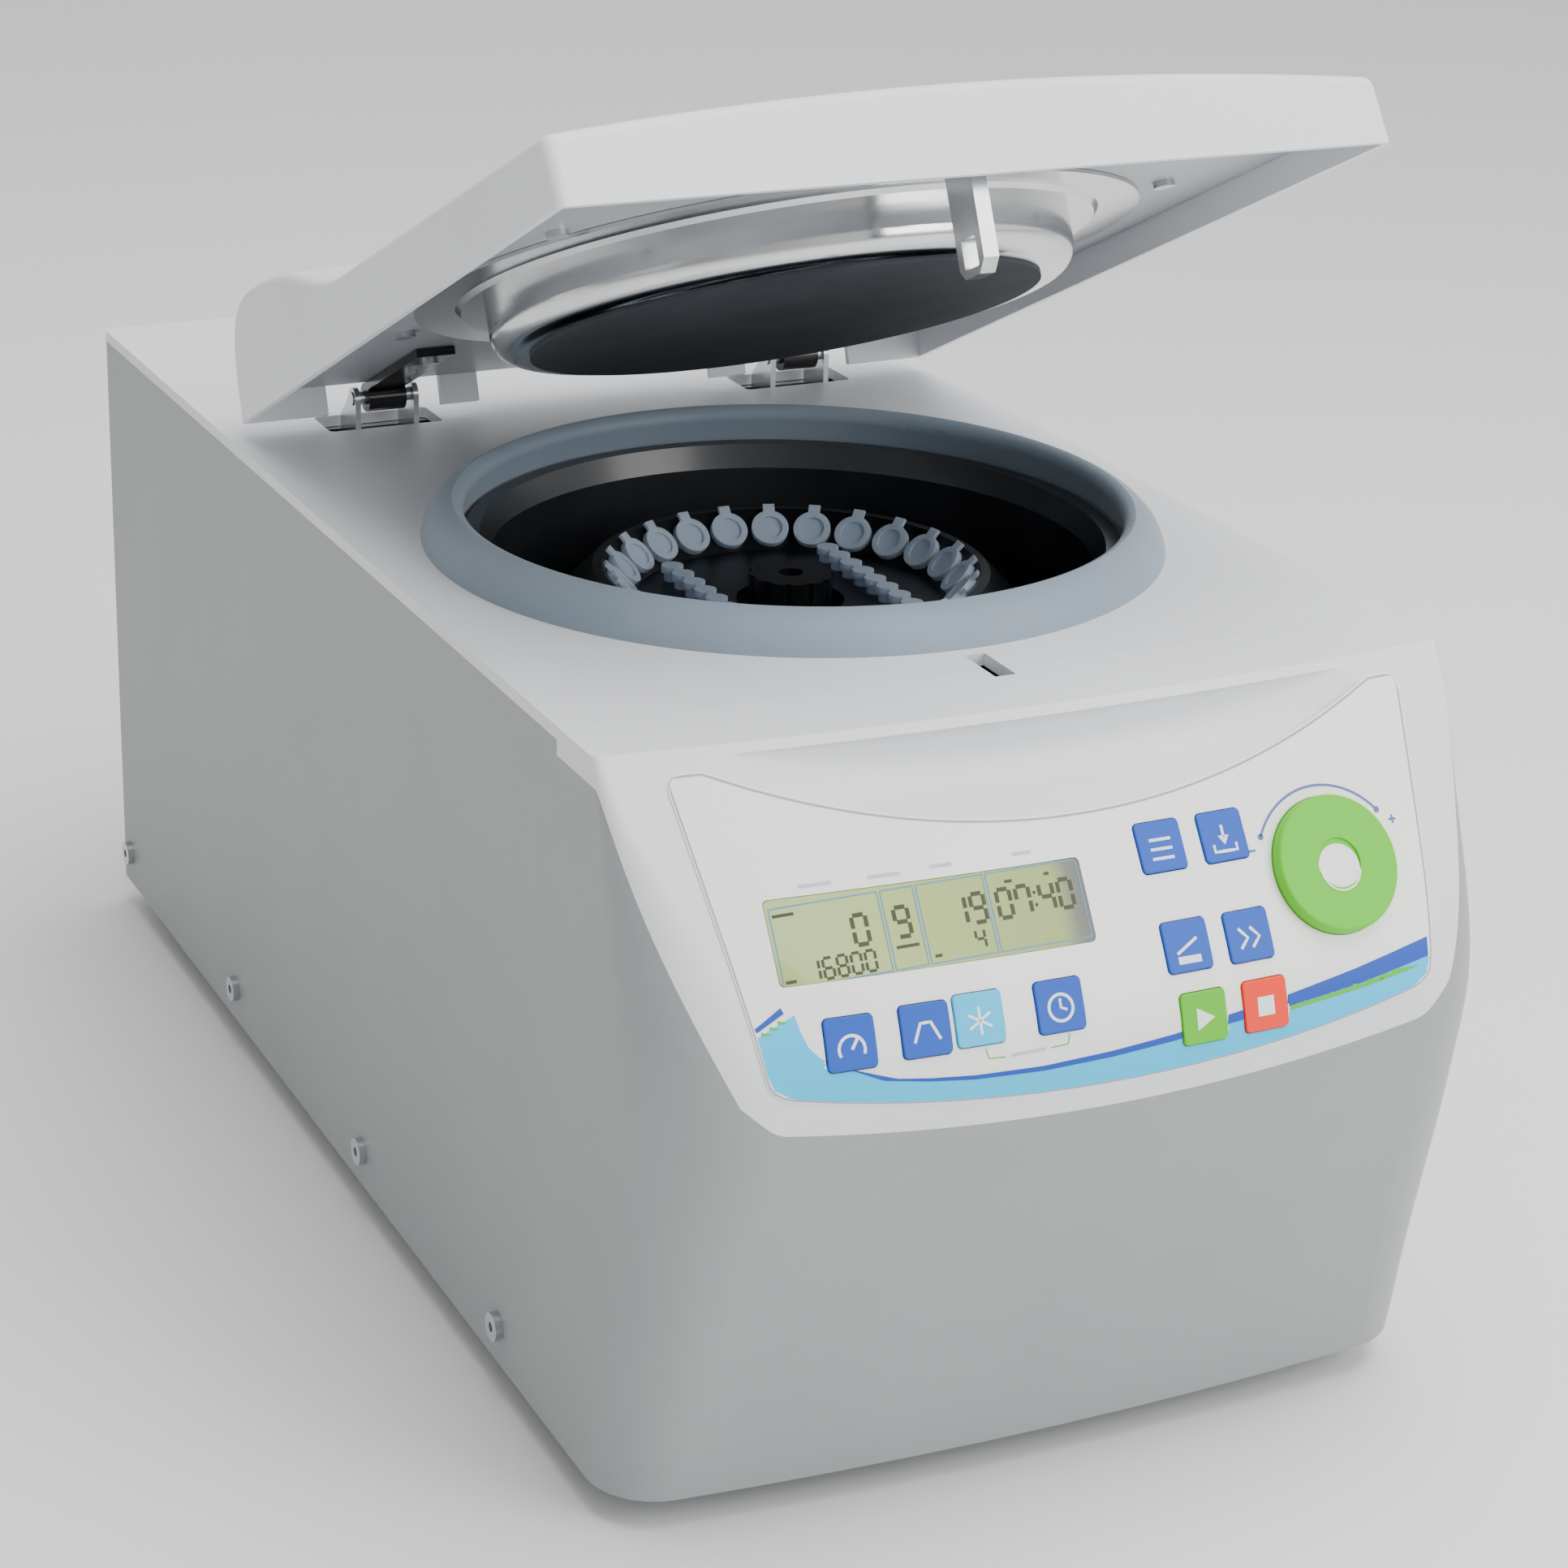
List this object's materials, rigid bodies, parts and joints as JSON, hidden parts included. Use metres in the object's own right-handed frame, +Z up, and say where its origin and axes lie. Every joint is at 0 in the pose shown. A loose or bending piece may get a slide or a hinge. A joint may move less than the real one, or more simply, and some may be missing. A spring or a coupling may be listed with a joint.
{
  "type": "benchtop refrigerated microcentrifuge",
  "caption": "Benchtop refrigerated microcentrifuge with hinged lid open, fixed-angle rotor with tubes, sealed chamber, sloping control panel with keys, display and dial.",
  "frame": {"origin": "on the bench, under the middle of the housing", "axes": "+Z up, -Y towards the user at the control panel, +X to the user's right"},
  "size_m": [0.2852, 0.5609, 0.4112],
  "materials": {
    "grey_enamel": "satin powder coat",
    "pale_abs": "fine texture",
    "overlay_film": "satin polyester film",
    "display_glass": "clear window over a yellow-green display",
    "circuit_board": "solder mask",
    "black_plastic": "satin",
    "blue_key": "satin film",
    "cyan_key": "satin film",
    "green_key": "satin film",
    "red_key": "satin film",
    "knob_green": "satin",
    "grey_rubber": "satin",
    "black_rubber": "matte",
    "stainless": "polished",
    "black_coated": "matte coating",
    "foam": "closed-cell foam",
    "copper": "copper tube",
    "cast_aluminium": "cast",
    "black_anodised": "black anodised",
    "clear_pp": "translucent polypropylene",
    "black_enamel": "gloss enamel",
    "galvanised": "zinc",
    "charcoal_foam": "matte"
  },
  "bodies": {
    "housing": {"casing": "grey_enamel", "top_cover": "pale_abs", "console_frame": "pale_abs", "panel_overlay": "overlay_film", "lcd_window": "display_glass", "lcd_module": "circuit_board", "control_board": "circuit_board", "knob_encoder": "black_plastic", "rear_panel": "grey_enamel", "mains_inlet": "black_plastic", "switch_bezel": "black_plastic", "base_pan": "galvanised", "feet": "black_rubber", "side_screws": "stainless", "gasket_ring": "grey_rubber", "chamber_bowl": "black_coated", "insulation": "foam", "evaporator_coil": "copper", "motor_body": "cast_aluminium", "shaft_seal": "black_rubber", "motor_dampers": "black_rubber", "motor_mount": "galvanised", "lock_housing": "black_plastic", "hinge_brackets": "stainless", "hinge_pins": "stainless", "compressor": "black_enamel", "condenser": "cast_aluminium", "fan_shroud": "black_plastic", "suction_pipe": "copper", "power_board": "circuit_board"},
    "lid": {"lid_shell": "pale_abs", "lid_inner_plate": "pale_abs", "lid_dish": "stainless", "lid_disc": "charcoal_foam", "lid_striker": "stainless", "hinge_leaves": "black_enamel", "lid_screws": "stainless"},
    "rotor": {"motor_shaft": "stainless", "rotor": "black_anodised", "sample_tubes": "clear_pp", "tube_strip_left": "clear_pp", "tube_strip_right": "clear_pp", "rotor_nut": "black_anodised"},
    "knob": {"knob": "knob_green"},
    "lock_bolt": {"lock_bolt": "stainless"},
    "rocker_switch": {"rocker_switch": "black_plastic"},
    "fan": {"fan_blades": "black_plastic"},
    "key_program": {"key_program": "blue_key"},
    "key_save": {"key_save": "blue_key"},
    "key_open": {"key_open": "blue_key"},
    "key_pulse": {"key_pulse": "blue_key"},
    "key_start": {"key_start": "green_key"},
    "key_stop": {"key_stop": "red_key"},
    "key_speed": {"key_speed": "blue_key"},
    "key_accel": {"key_accel": "blue_key"},
    "key_cooling": {"key_cooling": "cyan_key"},
    "key_time": {"key_time": "blue_key"}
  },
  "joints": [
    {"name": "lid_hinge", "type": "hinge", "parent": "housing", "child": "lid", "pos_m": [0, 0.116, 0.2525], "axis": [-1, 0, 0], "range_deg": [-25.5, 40]},
    {"name": "rotor_spin", "type": "hinge", "parent": "housing", "child": "rotor", "pos_m": [0, -0.054, 0.2198], "axis": [0, 0, 1], "continuous": true},
    {"name": "knob_turn", "type": "hinge", "parent": "housing", "child": "knob", "pos_m": [0.081, -0.25875, 0.1915], "axis": [0.0552, -0.8365, 0.5451], "continuous": true},
    {"name": "lock_bolt_slide", "type": "slide", "parent": "housing", "child": "lock_bolt", "axis": [1, 0, 0], "range_m": [0, 0.012]},
    {"name": "mains_rocker", "type": "hinge", "parent": "housing", "child": "rocker_switch", "pos_m": [-0.085, 0.274, 0.088], "axis": [-1, 0, 0], "range_deg": [0, 12]},
    {"name": "fan_spin", "type": "hinge", "parent": "housing", "child": "fan", "pos_m": [0.062, 0.222, 0.132], "axis": [0, 1, 0], "continuous": true},
    {"name": "key_program_press", "type": "slide", "parent": "housing", "child": "key_program", "axis": [-0.0165, 0.8309, -0.5561], "range_m": [0, 0.0005], "stiffness_N_per_m": 500},
    {"name": "key_save_press", "type": "slide", "parent": "housing", "child": "key_save", "axis": [-0.0309, 0.8307, -0.5559], "range_m": [0, 0.0005], "stiffness_N_per_m": 500},
    {"name": "key_open_press", "type": "slide", "parent": "housing", "child": "key_open", "axis": [-0.0181, 0.8679, -0.4963], "range_m": [0, 0.0005], "stiffness_N_per_m": 500},
    {"name": "key_pulse_press", "type": "slide", "parent": "housing", "child": "key_pulse", "axis": [-0.033, 0.8686, -0.4944], "range_m": [0, 0.0005], "stiffness_N_per_m": 500},
    {"name": "key_start_press", "type": "slide", "parent": "housing", "child": "key_start", "axis": [-0.0216, 0.956, -0.2927], "range_m": [0, 0.0005], "stiffness_N_per_m": 500},
    {"name": "key_stop_press", "type": "slide", "parent": "housing", "child": "key_stop", "axis": [-0.038, 0.955, -0.2943], "range_m": [0, 0.0005], "stiffness_N_per_m": 500},
    {"name": "key_speed_press", "type": "slide", "parent": "housing", "child": "key_speed", "axis": [0.0621, 0.9095, -0.4111], "range_m": [0, 0.0005], "stiffness_N_per_m": 500},
    {"name": "key_accel_press", "type": "slide", "parent": "housing", "child": "key_accel", "axis": [0.0449, 0.9074, -0.4179], "range_m": [0, 0.0005], "stiffness_N_per_m": 500},
    {"name": "key_cooling_press", "type": "slide", "parent": "housing", "child": "key_cooling", "axis": [0.0325, 0.9045, -0.4253], "range_m": [0, 0.0005], "stiffness_N_per_m": 500},
    {"name": "key_time_press", "type": "slide", "parent": "housing", "child": "key_time", "axis": [0.0136, 0.9049, -0.4255], "range_m": [0, 0.0005], "stiffness_N_per_m": 500}
  ]
}
